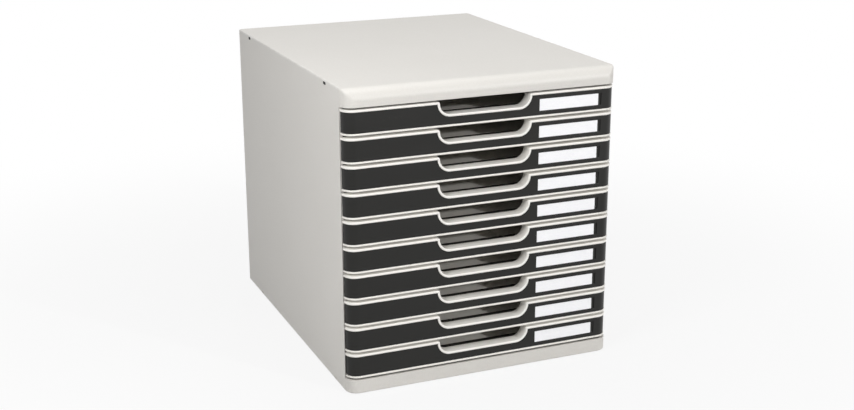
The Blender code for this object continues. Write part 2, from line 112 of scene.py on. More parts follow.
# Back panel, link holes and slots, feet
BACK_SEAT, BACK_SEAT_WIDTH = 0.3565, 0.0018
PANEL_NEAR, PANEL_FAR, PANEL_EDGE = 0.3568, 0.3594, 0.0021
FIELD_MARGIN, FIELD_SINK, FIELD_RADIUS = 0.0161, 0.0008, 0.006
CLIP_WIDTH, CLIP_LENGTH, CLIP_THICKNESS, CLIP_PLACE = 0.012, 0.005, 0.0016, 0.0864
LINK_HOLE_RADIUS, LINK_HOLE_LENGTH, LINK_HOLE_DROP = 0.0015, 0.008, 0.0034
LINK_HOLE_PLACES = (-0.12708, 0.13392)
# the dark sockets in the link holes are painted shade
SOCKET_SINK, SOCKET_WALL = 0.0003, 0.0003
LINK_SLOT_PLACES, LINK_SLOT_LENGTH = (-0.14004, 0.11988), 0.007
LINK_SLOT_HEIGHT, LINK_SLOT_RISE, LINK_SLOT_DEPTH = 0.0018, 0.0008, 0.0015
FOOT_RADIUS, FOOT_THICKNESS, FOOT_PROUD, FOOT_FIT, FOOT_INSET = 0.007, 0.0018, 0.0008, 0.0003, 0.022
RING_INSET, RING_WIDTH, RING_SINK = 0.002, 0.001, 0.0003

# Steps in the round stretches, and sides of the round pieces
CORNER_STEPS, SCOOP_STEPS, KNEE_STEPS, EDGE_STEPS, LIP_STEPS = 16, 16, 6, 4, 4
BACK_STEPS, RIM_STEPS, EASE_STEPS, TRAY_STEPS, FIELD_STEPS = 6, 3, 2, 8, 8
PIN_SIDES, SOCKET_SIDES, FOOT_SIDES = 32, 48, 64

# Small helpers: lengths, then angles between faces, then how nearly a run or a face lies along an axis
SEAM, WELD_REACH, OVERRUN, ROOT = 0.000001, 0.00001, 0.004, 0.0006
SMALL_STEP = 0.00005
FLAT, CREASE, SOFT_ANGLE, EASE_ANGLE, OUTLINE_ANGLE, RIM_ANGLE = 0.001, 0.35, 0.6, 0.9, 1, 1.2
STRAIGHT, SQUARE_ON = 0.99, 0.9

# Sizes that follow from those above
HALF, FRONT, BACK = WIDTH / 2, -DEPTH / 2, DEPTH / 2
BASE = FOOT_PROUD
STACK_BASE = BASE + PLINTH_HEIGHT + STACK_GAP
CAP_BASE = STACK_BASE + DRAWER_COUNT * PITCH - FRONT_GAP + STACK_GAP
HEIGHT = CAP_BASE + CAP_HEIGHT
FRONT_AXIS = HALF - FRONT_SIDE_GAP - CORNER_RADIUS
POCKET_TOP = FRONT_HEIGHT - LIP_TOP
SCOOP_AXIS_X, SCOOP_AXIS_Z = SCOOP_HALF - SCOOP_RADIUS, FRONT_HEIGHT - KNEE_RADIUS


# Shaping


def slab(bm, low, high):
    """A box between two corners."""
    low, high = Vector(low), Vector(high)
    corners = bmesh.ops.create_cube(bm, size=1)["verts"]
    bmesh.ops.scale(bm, vec=high - low, verts=corners)
    bmesh.ops.translate(bm, vec=(low + high) / 2, verts=corners)
    return corners


def round_off(bm, edges, radius, steps):
    """Rounds edges to a radius."""
    bmesh.ops.bevel(bm, geom=edges, offset=radius, offset_type="OFFSET", segments=steps,
                    profile=0.5, affect="EDGES", clamp_overlap=True, material=-1)


def along(edge, axis):
    """Whether an edge runs along X (0), Y (1) or Z (2)."""
    run = edge.verts[1].co - edge.verts[0].co
    return abs(run[axis]) > STRAIGHT * run.length


def slice_at(bm, place, facing, faces=None):
    """Scores faces, or all of them, along a plane."""
    faces = faces or bm.faces[:]
    edges = {edge for face in faces for edge in face.edges}
    verts = {vert for face in faces for vert in face.verts}
    bmesh.ops.bisect_plane(bm, geom=[*verts, *edges, *faces], dist=SEAM, plane_co=place,
                           plane_no=facing)


def trim(bm, place, facing):
    """Cuts away what lies beyond a plane and closes the cut."""
    bmesh.ops.bisect_plane(bm, geom=bm.verts[:] + bm.edges[:] + bm.faces[:], dist=SEAM, plane_co=place,
                           plane_no=facing, clear_outer=True)
    bmesh.ops.holes_fill(bm, edges=[edge for edge in bm.edges if edge.is_boundary], sides=0)


def pulled(bm, faces, shift):
    """Pulls a region of faces out along a vector and gives its new vertices."""
    edges = {edge for face in faces for edge in face.edges}
    drawn = bmesh.ops.extrude_face_region(bm, geom=[*faces, *edges])["geom"]
    verts = [item for item in drawn if isinstance(item, bmesh.types.BMVert)]
    bmesh.ops.translate(bm, vec=shift, verts=verts)
    return verts


def creased(edges, angle):
    """The edges whose two faces meet at more than an angle."""
    return [edge for edge in edges if edge.calc_face_angle(0) > angle]


def as_piece(bm, name):
    """Closes a bmesh into an object."""
    bmesh.ops.remove_doubles(bm, verts=bm.verts, dist=SEAM)
    bmesh.ops.recalc_face_normals(bm, faces=bm.faces)
    mesh = bpy.data.meshes.new(name)
    bm.to_mesh(mesh)
    bm.free()
    made = bpy.data.objects.new(name, mesh)
    bpy.context.scene.collection.objects.link(made)
    return made


def worked(piece, steps, rim=None):
    """Joins and cuts a piece with other solids, in order, and rounds the edges that this leaves."""
    for operation, other in steps:
        tool = piece.modifiers.new(other.name, "BOOLEAN")
        tool.operation, tool.solver, tool.object = operation, "EXACT", other
    if rim:
        weld = piece.modifiers.new("weld", "WELD")
        weld.merge_threshold = WELD_REACH
        ease = piece.modifiers.new("ease", "BEVEL")
        ease.width, ease.segments = rim, EASE_STEPS
        ease.limit_method, ease.angle_limit = "ANGLE", EASE_ANGLE
    bpy.context.view_layer.update()
    shaped = piece.evaluated_get(bpy.context.evaluated_depsgraph_get())
    mesh = bpy.data.meshes.new_from_object(shaped)
    piece.modifiers.clear()
    piece.data = mesh
    for _, other in steps:
        bpy.data.objects.remove(other)
    return piece


def smoothed(piece):
    """Shades the round stretches smooth and keeps the flat ones flat."""
    piece.data.shade_smooth()
    piece.data.set_sharp_from_angle(angle=SOFT_ANGLE)
    even = piece.modifiers.new("even", "WEIGHTED_NORMAL")
    even.keep_sharp = True
    return piece


# Housing


def sleeve_form(inset, back, name):
    """The housing's outer shape as a solid, moved in by inset and rounded where it is outside."""
    bm = bmesh.new()
    slab(bm, (-HALF + inset, FRONT + inset, BASE + inset), (HALF - inset, back, HEIGHT - inset))
    ahead = [edge for edge in bm.edges if along(edge, 2) and edge.verts[0].co.y < 0]
    round_off(bm, ahead, CORNER_RADIUS - inset, CORNER_STEPS)
    if not inset:
        behind = [edge for edge in bm.edges
                  if along(edge, 2) and edge.verts[0].co.y > BACK - SMALL_STEP]
        round_off(bm, behind, BACK_CORNER_RADIUS, BACK_STEPS)
    radius = CAP_ROUND - inset
    middle = Vector((0, FRONT + CAP_ROUND, HEIGHT - CAP_ROUND))
    for step in range(CORNER_STEPS):
        low, high = (pi / 2 * (step + more) / CORNER_STEPS for more in (0, 1))
        tilt = (low + high) / 2
        place = middle + radius * Vector((0, -cos(low), sin(low)))
        trim(bm, place, (0, -cos(tilt), sin(tilt)))
    bmesh.ops.dissolve_limit(bm, angle_limit=FLAT, verts=bm.verts, edges=bm.edges)
    if not inset:
        round_off(bm, creased(bm.edges, CREASE), EDGE_RADIUS, EDGE_STEPS)
    return as_piece(bm, name)


def rails():
    """The ledges and guides that carry the drawers, along both side walls."""
    bm = bmesh.new()
    near, far = FRONT + RUNNER_START, BACK - RUNNER_BACK_MARGIN
    outer = HALF - WALL + ROOT
    spans = []
    for index in range(DRAWER_COUNT):
        base = STACK_BASE + index * PITCH
        spans += [(base + low, base + high) for low, high in (LEDGE_SPAN, GUIDE_SPAN)]
    for low, high in spans:
        slab(bm, (RUNNER_INNER, near, low), (outer, far, high))
        slab(bm, (-outer, near, low), (-RUNNER_INNER, far, high))
    return as_piece(bm, "rails")


def stops():
    """The blocks under the ledges' front ends that the drawers' lugs meet."""
    bm = bmesh.new()
    near = FRONT + RUNNER_START + STOP_SETBACK
    inner, outer = RUNNER_INNER + STOP_INSET, HALF - WALL + ROOT
    for index in range(DRAWER_COUNT):
        base = STACK_BASE + index * PITCH
        low, high = base + LEDGE_SPAN[0] - STOP_DROP, base + LEDGE_SPAN[1] - ROOT
        slab(bm, (inner, near, low), (outer, near + STOP_LENGTH, high))
        slab(bm, (-outer, near, low), (-inner, near + STOP_LENGTH, high))
    return as_piece(bm, "stops")


def foot_places():
    """The four corners where the feet sit, by name."""
    across, deep = HALF - FOOT_INSET, BACK - FOOT_INSET
    return {"front_left": (-across, -deep), "front_right": (across, -deep),
            "back_left": (-across, deep), "back_right": (across, deep)}


def link_pin(bm, length, radius, place):
    """A lying pin across X, drawn out along Y to the length of a link hole."""
    pin = bmesh.ops.create_cone(bm, cap_ends=True, segments=PIN_SIDES, radius1=radius,
                                radius2=radius, depth=length)["verts"]
    bmesh.ops.rotate(bm, verts=pin, matrix=Matrix.Rotation(pi / 2, 3, "Y"))
    for side in (-1, 1):
        half = [vert for vert in pin if vert.co.y * side > SEAM]
        bmesh.ops.translate(bm, verts=half, vec=(0, side * (LINK_HOLE_LENGTH / 2 - LINK_HOLE_RADIUS), 0))
    bmesh.ops.translate(bm, verts=pin, vec=place)
    return pin


def painted_shade_sockets():
    """Dark linings set in the four link holes as painted shade, with a dished face a little below the wall.
    """
    bm = bmesh.new()
    deep = WALL - SOCKET_SINK
    for side in (-1, 1):
        for place in LINK_HOLE_PLACES:
            middle = side * (HALF - SOCKET_SINK - deep / 2)
            link_pin(bm, deep, LINK_HOLE_RADIUS - SEAM, (middle, place, HEIGHT - LINK_HOLE_DROP))
    faces = [face for face in bm.faces if abs(face.normal.x) > SQUARE_ON
             and abs(face.calc_center_median().x) > HALF - WALL / 2]
    bmesh.ops.inset_individual(bm, faces=faces, thickness=SOCKET_WALL)
    for face in faces:
        side = 1 if face.normal.x > 0 else -1
        bmesh.ops.translate(bm, verts=face.verts, vec=(-side * SOCKET_WALL, 0, 0))
    return as_piece(bm, "painted_shade_sockets")


def drilled():
    """The link holes, the link slots and the sockets of the feet, as one cutter."""
    bm = bmesh.new()
    for place in LINK_HOLE_PLACES:
        link_pin(bm, WIDTH + OVERRUN, LINK_HOLE_RADIUS, (0, place, HEIGHT - LINK_HOLE_DROP))
    low = BASE + LINK_SLOT_RISE
    inner, outer = HALF - LINK_SLOT_DEPTH, HALF + OVERRUN
    for place in LINK_SLOT_PLACES:
        near, far = place - LINK_SLOT_LENGTH / 2, place + LINK_SLOT_LENGTH / 2
        slab(bm, (inner, near, low), (outer, far, low + LINK_SLOT_HEIGHT))
        slab(bm, (-outer, near, low), (-inner, far, low + LINK_SLOT_HEIGHT))
    radius, depth = FOOT_RADIUS + FOOT_FIT, 2 * (FOOT_THICKNESS + FOOT_FIT)
    for across, deep in foot_places().values():
        socket = bmesh.ops.create_cone(bm, cap_ends=True, segments=SOCKET_SIDES, radius1=radius,
                                       radius2=radius, depth=depth)["verts"]
        bmesh.ops.translate(bm, verts=socket, vec=(across, deep, 0))
    return as_piece(bm, "drilled")


def box_piece(name, low, high):
    """A box between two corners, as an object of its own."""
    bm = bmesh.new()
    slab(bm, low, high)
    return as_piece(bm, name)


def housing_sleeve():
    """The moulded sleeve with its cap, plinth and runners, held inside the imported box."""
    bay = box_piece("bay", (-HALF - OVERRUN, FRONT - OVERRUN, BASE + PLINTH_HEIGHT),
                    (HALF + OVERRUN, FRONT + CORNER_RADIUS, CAP_BASE))
    cavity = sleeve_form(WALL, BACK + OVERRUN, "cavity")
    seat = BACK_SEAT_WIDTH
    rabbet = box_piece("rabbet", (-HALF + seat, FRONT + BACK_SEAT, BASE + seat),
                       (HALF - seat, BACK + OVERRUN, HEIGHT - seat))
    steps = [("DIFFERENCE", bay), ("DIFFERENCE", cavity), ("DIFFERENCE", rabbet), ("UNION", rails()),
             ("UNION", stops()), ("DIFFERENCE", drilled())]
    sleeve = worked(sleeve_form(0, BACK, "housing_sleeve"), steps, RIM_RADIUS)
    low, high = packed_box
    for vert in sleeve.data.vertices:
        vert.co = [min(max(place, least), most) for place, least, most in zip(vert.co, low, high)]
    return sleeve


def clips():
    """The tabs that reach in from the panel along the housing's floor and top."""
    bm = bmesh.new()
    near = FRONT + PANEL_NEAR
    low, high = BASE + WALL + REST_GAP, HEIGHT - WALL - REST_GAP
    for middle in (-CLIP_PLACE, CLIP_PLACE):
        left, right = middle - CLIP_WIDTH / 2, middle + CLIP_WIDTH / 2
        for base in (low, high - CLIP_THICKNESS):
            slab(bm, (left, near - CLIP_LENGTH, base), (right, near + ROOT, base + CLIP_THICKNESS))
    return as_piece(bm, "clips")


def back_plate():
    """The panel that closes the sleeve behind, with its sunk field and four clips."""
    bm = bmesh.new()
    near, far = FRONT + PANEL_NEAR, FRONT + PANEL_FAR
    slab(bm, (-HALF + PANEL_EDGE, near, BASE + PANEL_EDGE),
         (HALF - PANEL_EDGE, far, HEIGHT - PANEL_EDGE))
    field = [face for face in bm.faces if face.normal.y > SQUARE_ON]
    bmesh.ops.inset_region(bm, faces=field, thickness=FIELD_MARGIN - PANEL_EDGE, use_even_offset=True)
    bmesh.ops.bevel(bm, geom=field[0].verts[:], offset=FIELD_RADIUS, offset_type="OFFSET",
                    segments=FIELD_STEPS, profile=0.5, affect="VERTICES", material=-1)
    field = [face for face in bm.faces if face.normal.y > SQUARE_ON and len(face.verts) > FIELD_STEPS]
    middle = max(field, key=lambda face: face.calc_area())
    pulled(bm, [middle], (0, -FIELD_SINK, 0))
    round_off(bm, creased(bm.edges, RIM_ANGLE), RIM_RADIUS, RIM_STEPS)
    return worked(as_piece(bm, "back_plate"), [("UNION", clips())])


def foot_pad(name, across, deep):
    """A turned rubber pad with a soft edge and a ring pressed into its sole."""
    bm = bmesh.new()
    bmesh.ops.create_cone(bm, cap_ends=True, segments=FOOT_SIDES, radius1=FOOT_RADIUS,
                          radius2=FOOT_RADIUS, depth=FOOT_THICKNESS)
    sole = [face for face in bm.faces if face.normal.z < -SQUARE_ON]
    bmesh.ops.inset_region(bm, faces=sole, thickness=RING_INSET)
    bmesh.ops.inset_region(bm, faces=sole, thickness=RING_WIDTH, depth=-RING_SINK)
    round_off(bm, creased(bm.edges, RIM_ANGLE), RIM_RADIUS, RIM_STEPS)
    bmesh.ops.translate(bm, verts=bm.verts, vec=(across, deep, FOOT_THICKNESS / 2))
    return as_piece(bm, f"foot_pad_{name}")


# Drawers. Their fronts are drawn flat, X along the front, and then wrapped round its corners.


class Pen:
    """Draws the outline of a face in the plane of a drawer's front."""

    def __init__(self, bm, across, up):
        self.bm = bm
        self.tip = self.first = bm.verts.new((across, 0, up))
        self.edges = []

    def line(self, across, up):
        """A straight run to a point."""
        drawn = bmesh.ops.extrude_vert_indiv(self.bm, verts=[self.tip])
        self.tip = drawn["verts"][0]
        self.tip.co = (across, 0, up)
        return self

    def arc(self, across, up, turn, steps):
        """A turn in degrees about a centre."""
        drawn = bmesh.ops.spin(self.bm, geom=[self.tip], cent=(across, 0, up), axis=(0, 1, 0),
                               angle=radians(turn), steps=steps)
        self.tip = next(item for item in drawn["geom_last"] if isinstance(item, bmesh.types.BMVert))
        return self

    def face(self, mark=0):
        """Closes the outline, fills it and gives it a mark."""
        self.bm.edges.new((self.tip, self.first))
        made = bmesh.ops.contextual_create(self.bm, geom=self.bm.edges[:])["faces"]
        for face in made:
            face.material_index = mark
        return self.bm


def merged(parts):
    """One bmesh out of several, with their common edges shared."""
    whole = bmesh.new()
    for bm in parts:
        mesh = bpy.data.meshes.new("part")
        bm.to_mesh(mesh)
        bm.free()
        whole.from_mesh(mesh)
        bpy.data.meshes.remove(mesh)
    return whole


def finger_line(pen, grow, meets):
    """Draws the lower curve of the finger cut, left to right, moved out by grow."""
    sweep = 90 - meets
    pen.arc(-SCOOP_AXIS_X, SCOOP_AXIS_Z, -sweep, SCOOP_STEPS)
    pen.line(SCOOP_AXIS_X, SCOOP_AXIS_Z - SCOOP_RADIUS - grow)
    pen.arc(SCOOP_AXIS_X, SCOOP_AXIS_Z, -sweep, SCOOP_STEPS)
    return pen


def strip_face(bm, end, low, high, grow, mark):
    """The face between two heights that dips under the finger cut, moved out by grow."""
    meets = asin((SCOOP_AXIS_Z - high) / (SCOOP_RADIUS + grow))
    side = SCOOP_AXIS_X + (SCOOP_RADIUS + grow) * cos(meets)
    pen = Pen(bm, -end, low).line(-end, high).line(-side, high)
    return finger_line(pen, grow, degrees(meets)).line(end, high).line(end, low).face(mark)


def top_lip_face(bm, end):
    """The face of the top lip, which sweeps down round the finger cut at an even width."""
    knee = SCOOP_HALF + KNEE_RADIUS
    meets = asin((SCOOP_AXIS_Z - POCKET_TOP) / (SCOOP_RADIUS + LIP_TOP))
    side = SCOOP_AXIS_X + (SCOOP_RADIUS + LIP_TOP) * cos(meets)
    sweep = 90 - degrees(meets)
    pen = Pen(bm, -end, FRONT_HEIGHT).line(-knee, FRONT_HEIGHT)
    finger_line(pen.arc(-knee, SCOOP_AXIS_Z, 90, KNEE_STEPS), 0, 0)
    pen.arc(knee, SCOOP_AXIS_Z, 90, KNEE_STEPS).line(end, FRONT_HEIGHT)
    pen.line(end, POCKET_TOP).line(side, POCKET_TOP)
    pen.arc(SCOOP_AXIS_X, SCOOP_AXIS_Z, sweep, SCOOP_STEPS)
    pen.line(-SCOOP_AXIS_X, SCOOP_AXIS_Z - SCOOP_RADIUS - LIP_TOP)
    pen.arc(-SCOOP_AXIS_X, SCOOP_AXIS_Z, sweep, SCOOP_STEPS).line(-end, POCKET_TOP)
    return pen.face()


def end_of(depth, inset=0):
    """How far along the flat front it reaches a depth, once wrapped round the corner."""
    return FRONT_AXIS + CORNER_RADIUS * acos((CORNER_RADIUS - depth) / (CORNER_RADIUS - inset))


def score_corners(bm, end):
    """Lines across the flat front where it will bend."""
    for step in range(CORNER_STEPS):
        place = FRONT_AXIS + (end - FRONT_AXIS) * step / CORNER_STEPS
        for side in (-1, 1):
            slice_at(bm, (side * place, 0, 0), (1, 0, 0))


def wrap(bm, depths=()):
    """Bends the flat front round its corners. Vertices at the depths stay in flat planes behind."""
    for vert in bm.verts:
        flat, deep = abs(vert.co.x), vert.co.y
        if flat <= FRONT_AXIS:
            continue
        side = 1 if vert.co.x > 0 else -1
        turn = (flat - FRONT_AXIS) / CORNER_RADIUS
        radius = CORNER_RADIUS - deep
        if depths and deep > depths[0] - SMALL_STEP:
            surface = CORNER_RADIUS * (1 - cos(turn))
            behind = depths[1]
            if deep < depths[1] - SMALL_STEP:
                behind = max(depths[0], (surface + depths[1]) / 2)
            vert.co.x, vert.co.y = side * (FRONT_AXIS + CORNER_RADIUS * sin(turn)), behind
        else:
            vert.co.x = side * (FRONT_AXIS + radius * sin(turn))
            vert.co.y = CORNER_RADIUS - radius * cos(turn)


def front_moulding():
    """The tray's front: lips, the wall behind the facing and the throat of the finger cut."""
    end = end_of(FRONT_END_DEPTH)
    inside = CORNER_RADIUS - FACING_SINK - FACING_THICKNESS - REST_GAP
    wall_reach = sqrt(inside ** 2 - (CORNER_RADIUS - WALL_FACE) ** 2)
    wall_end = FRONT_AXIS + CORNER_RADIUS * asin(wall_reach / CORNER_RADIUS)
    bottom = Pen(bmesh.new(), -end, 0).line(-end, LIP_BOTTOM)
    bottom = bottom.line(end, LIP_BOTTOM).line(end, 0).face()
    pocket = strip_face(bmesh.new(), wall_end, LIP_BOTTOM, POCKET_TOP, LIP_TOP, 1)
    bm = merged([top_lip_face(bmesh.new(), end), pocket, bottom])
    score_corners(bm, end)
    throat_half = TRAY_HALF - THROAT_SIDE_GAP
    for place in (-wall_end, wall_end, -throat_half, throat_half):
        slice_at(bm, (place, 0, 0), (1, 0, 0))
    bmesh.ops.remove_doubles(bm, verts=bm.verts, dist=SEAM)
    bmesh.ops.translate(bm, verts=bm.verts, vec=(0, FRONT_DEPTH, 0))
    pulled(bm, bm.faces[:], (0, WALL_FACE - FRONT_DEPTH, 0))
    lips = [face for face in bm.faces if face.material_index == 0
            and all(abs(vert.co.y - WALL_FACE) < SEAM for vert in face.verts)]
    pulled(bm, lips, (0, -WALL_FACE, 0))
    bmesh.ops.recalc_face_normals(bm, faces=bm.faces)
    ahead = [edge for edge in bm.edges if all(vert.co.y < SEAM for vert in edge.verts)]
    round_off(bm, creased(ahead, OUTLINE_ANGLE), LIP_ROUND, LIP_STEPS)
    behind = [face for face in bm.faces if abs(face.calc_center_median().x) < throat_half
              and all(abs(vert.co.y - FRONT_DEPTH) < SEAM for vert in face.verts)]
    throat = pulled(bm, behind, (0, THROAT_DEPTH - FRONT_DEPTH, 0))
    for vert in throat:
        vert.co.z = min(max(vert.co.z, THROAT_FOOT_RISE), FRONT_HEIGHT - THROAT_TOP_DROP)
    wrap(bm, (WALL_FACE, FRONT_DEPTH))
    for face in bm.faces:
        face.material_index = 0
    return as_piece(bm, "tray")


def tray_box():
    """The tray's walls as a block, with the flanges and stop lugs on its sides."""
    bm = bmesh.new()
    near = THROAT_DEPTH - TRAY_LAP
    slab(bm, (-TRAY_HALF, near, TRAY_LIFT), (TRAY_HALF, TRAY_BACK, TRAY_SIDE_TOP))
    round_off(bm, [edge for edge in bm.edges if along(edge, 2) and edge.verts[0].co.y > DEPTH / 2],
              TRAY_OUTER_CORNER, TRAY_STEPS)
    flange = (FLANGE_START, TRAY_BACK - TRAY_OUTER_CORNER,
              TRAY_SIDE_TOP - FLANGE_THICKNESS, TRAY_SIDE_TOP)
    lug = (LUG_FACE, LUG_FACE + LUG_LENGTH, LUG_TOP - LUG_HEIGHT, LUG_TOP)
    for near, far, low, high in (flange, lug):
        for place, facing in (((0, near, 0), (0, 1, 0)), ((0, far, 0), (0, 1, 0)),
                              ((0, 0, low), (0, 0, 1)), ((0, 0, high), (0, 0, 1))):
            sides = [face for face in bm.faces if abs(face.normal.x) > SQUARE_ON
                     and abs(abs(face.calc_center_median().x) - TRAY_HALF) < SEAM]
            slice_at(bm, place, facing, sides)
        for side in (-1, 1):
            middles = {face: face.calc_center_median() for face in bm.faces}
            picked = [face for face, middle in middles.items()
                      if abs(middle.x - side * TRAY_HALF) < SEAM
                      and near < middle.y < far and low < middle.z < high]
            pulled(bm, picked, (side * (FLANGE_HALF - TRAY_HALF), 0, 0))
    return as_piece(bm, "tray_box")


def tray_hollow():
    """The room in the tray, with rounded corners and a rounded foot."""
    bm = bmesh.new()
    inner, floor = TRAY_HALF - TRAY_WALL, TRAY_LIFT + TRAY_FLOOR
    slab(bm, (-inner, THROAT_DEPTH - SMALL_STEP, floor),
         (inner, TRAY_BACK - TRAY_WALL, FRONT_HEIGHT + OVERRUN))
    round_off(bm, [edge for edge in bm.edges if along(edge, 2)], TRAY_INNER_CORNER, TRAY_STEPS)
    foot = [edge for edge in bm.edges if all(abs(vert.co.z - floor) < SEAM for vert in edge.verts)]
    round_off(bm, foot, TRAY_FLOOR_ROUND, EDGE_STEPS)
    return as_piece(bm, "tray_hollow")


def tray():
    """One drawer's moulding: front, throat, tray, flanges and lugs."""
    return worked(front_moulding(), [("UNION", tray_box()), ("DIFFERENCE", tray_hollow())], RIM_RADIUS)


def facing():
    """The black strip between the lips, with the recess for the label card."""
    end = end_of(FACING_END_DEPTH, FACING_SINK)
    bm = strip_face(bmesh.new(), end, LIP_BOTTOM + FACING_FIT, POCKET_TOP - FACING_FIT,
                    LIP_TOP + FACING_FIT, 0)
    score_corners(bm, end)
    left, right = LABEL_LEFT - LABEL_FIT, LABEL_LEFT + LABEL_LENGTH + THUMB_GAP
    low = (LIP_BOTTOM + POCKET_TOP - LABEL_HEIGHT) / 2 - LABEL_FIT
    high = low + LABEL_HEIGHT + 2 * LABEL_FIT
    bmesh.ops.translate(bm, verts=bm.verts, vec=(0, FACING_SINK + FACING_THICKNESS, 0))
    pulled(bm, bm.faces[:], (0, -FACING_THICKNESS, 0))
    bmesh.ops.recalc_face_normals(bm, faces=bm.faces)
    for place in (left, right):
        slice_at(bm, (place, 0, 0), (1, 0, 0), [face for face in bm.faces if face.normal.y < -SQUARE_ON])
    for place in (low, high):
        fronts = [face for face in bm.faces if face.normal.y < -SQUARE_ON
                  and left < face.calc_center_median().x < right]
        slice_at(bm, (0, 0, place), (0, 0, 1), fronts)
    recess = [face for face in bm.faces if face.normal.y < -SQUARE_ON
              and left < face.calc_center_median().x < right
              and low < face.calc_center_median().z < high]
    pulled(bm, recess, (0, LABEL_RECESS, 0))
    ahead = [edge for edge in bm.edges
             if all(abs(vert.co.y - FACING_SINK) < SEAM for vert in edge.verts)]
    round_off(bm, creased(ahead, OUTLINE_ANGLE), FACING_ROUND, RIM_STEPS)
    wrap(bm)
    return as_piece(bm, "facing")


def painted_shade_ledge():
    """A black ledge behind the throat, put there as painted shade: it draws the shadow behind the throat as
    a dark line in the finger cut.
    """
    bm = bmesh.new()
    side, top = SCOOP_HALF + SHADE_LEDGE_REACH, SCOOP_AXIS_Z - SCOOP_RADIUS - SHADE_LEDGE_DROP
    far = THROAT_DEPTH + SHADE_LEDGE_DEPTH
    slab(bm, (-side, THROAT_DEPTH - ROOT, top - SHADE_LEDGE_THICKNESS), (side, far, top))
    round_off(bm, [edge for edge in bm.edges if along(edge, 2) and edge.verts[0].co.y > THROAT_DEPTH],
              SHADE_LEDGE_CORNER, EDGE_STEPS)
    round_off(bm, creased(bm.edges, RIM_ANGLE), SHADE_LEDGE_ROUND, RIM_STEPS)
    return as_piece(bm, SHADE_LEDGE_NAME)


def label_card():
    """The stiff card in its recess, with softened edges."""
    bm = bmesh.new()
    back = FACING_SINK + LABEL_RECESS - REST_GAP
    low = (LIP_BOTTOM + POCKET_TOP - LABEL_HEIGHT) / 2
    slab(bm, (LABEL_LEFT, back - LABEL_THICKNESS, low),
         (LABEL_LEFT + LABEL_LENGTH, back, low + LABEL_HEIGHT))
    round_off(bm, [edge for edge in bm.edges if along(edge, 1)], LABEL_CORNER, EDGE_STEPS)
    round_off(bm, creased(bm.edges, RIM_ANGLE), LABEL_ROUND, EASE_STEPS)
    return as_piece(bm, "label_card")


# Finishes


class Value:
    """A number or colour in a node tree. Sums and products of values add their Math nodes."""

    def __init__(self, graph, socket):
        self.graph, self.socket = graph, socket

    def math(self, operation, *others):
        inputs = dict(enumerate(others))
        return self.graph.node("ShaderNodeMath", {"operation": operation}, inputs)

    def __add__(self, other):
        return self.math("ADD", self, other)

    def __sub__(self, other):
        return self.math("SUBTRACT", self, other)

    def __rsub__(self, other):
        return self.math("SUBTRACT", other, self)

    def __mul__(self, other):
        return self.math("MULTIPLY", self, other)

    def __truediv__(self, other):
        return self.math("DIVIDE", self, other)

    def __abs__(self):
        return self.math("ABSOLUTE", self)

    def __mod__(self, other):
        return self.math("FLOORED_MODULO", self, other)

    __radd__, __rmul__ = __add__, __mul__


class Graph:
    """A node tree under way."""

    def __init__(self, tree):
        self.tree = tree

    def node(self, kind, settings=None, inputs=None, out=0):
        """Any node, from its type, its settings and the values or links of its sockets."""
        made = self.tree.nodes.new(kind)
        for name, setting in (settings or {}).items():
            setattr(made, name, setting)
        for socket, value in (inputs or {}).items():
            self.feed(made.inputs[socket], value)
        return Value(self, made.outputs[out])

    def feed(self, socket, value):
        if isinstance(value, Value):
            self.tree.links.new(value.socket, socket)
        else:
            socket.default_value = value


class Finish(Graph):
    """A material under way: its nodes, and the sockets of its shader."""

    def __init__(self, name, roughness, specular=0.5):
        self.material = bpy.data.materials.new(name)
        self.material.use_nodes = True
        super().__init__(self.material.node_tree)
        self.shader = self.tree.nodes["Principled BSDF"]
        self.shader.inputs["Roughness"].default_value = roughness
        self.shader.inputs["Specular IOR Level"].default_value = specular

    def place(self):
        """The point on the piece, and its three coordinates."""
        point = self.node("ShaderNodeTexCoord", out="Object")
        return point, [self.node("ShaderNodeSeparateXYZ", inputs={0: point}, out=axis) for axis in range(3)]

    def cloud(self, point, size, detail=3, roughness=0.5, stretch=(1, 1, 1)):
        """Soft noise whose patches are about size across, from 0 to 1."""
        scale = [share / size for share in stretch]
        scaled = self.node("ShaderNodeVectorMath", {"operation": "MULTIPLY"}, {0: point, 1: scale})
        return self.node("ShaderNodeTexNoise", {}, {"Vector": scaled, "Scale": 1, "Detail": detail,
                                                     "Roughness": roughness})

    def ramp(self, value, low, high, start=0, end=1):
        """A value eased from start to end between two levels."""
        return self.node("ShaderNodeMapRange", {"interpolation_type": "SMOOTHSTEP"},
                         {0: value, 1: low, 2: high, 3: start, 4: end})

    def blend(self, share, first, second):
        """A colour between two."""
        return self.node("ShaderNodeMix", {"data_type": "RGBA"}, {0: share, 6: first, 7: second}, out=2)

    def bump(self, height, distance):
        """Relief of a depth given in metres."""
        relief = self.node("ShaderNodeBump", {}, {"Strength": 1, "Distance": distance, "Height": height})
        self.feed(self.shader.inputs["Normal"], relief)

    def surface(self, **sockets):
        for name, value in sockets.items():
            self.feed(self.shader.inputs[name.replace("_", " ").title()], value)
        return self.material


def tone(shade):
    """An 8-bit screen colour as the linear colour that a shader takes."""
    shares = [value / 255 for value in shade]
    return [s / 12.92 if s <= 0.04045 else ((s + 0.055) / 1.055) ** 2.4 for s in shares] + [1]


def near_edge(finish, value, edge, reach):
    """1 at an edge's place, 0 beyond its reach."""
    return finish.ramp(abs(value - edge), low=0, high=reach, start=1, end=0)


# Colours as the screen shows them
GREY_DEEP, GREY_PALE = (211, 208, 202), (217, 214, 209)
GREY_SPECK, GREY_WORN = (205, 202, 197), (229, 227, 223)
WHITE_DEEP, WHITE_PALE, WHITE_DUST = (238, 235, 229), (243, 241, 236), (219, 215, 207)
BLACK_DEEP, BLACK_PALE, BLACK_DUST = (22, 22, 20), (29, 28, 26), (92, 88, 80)
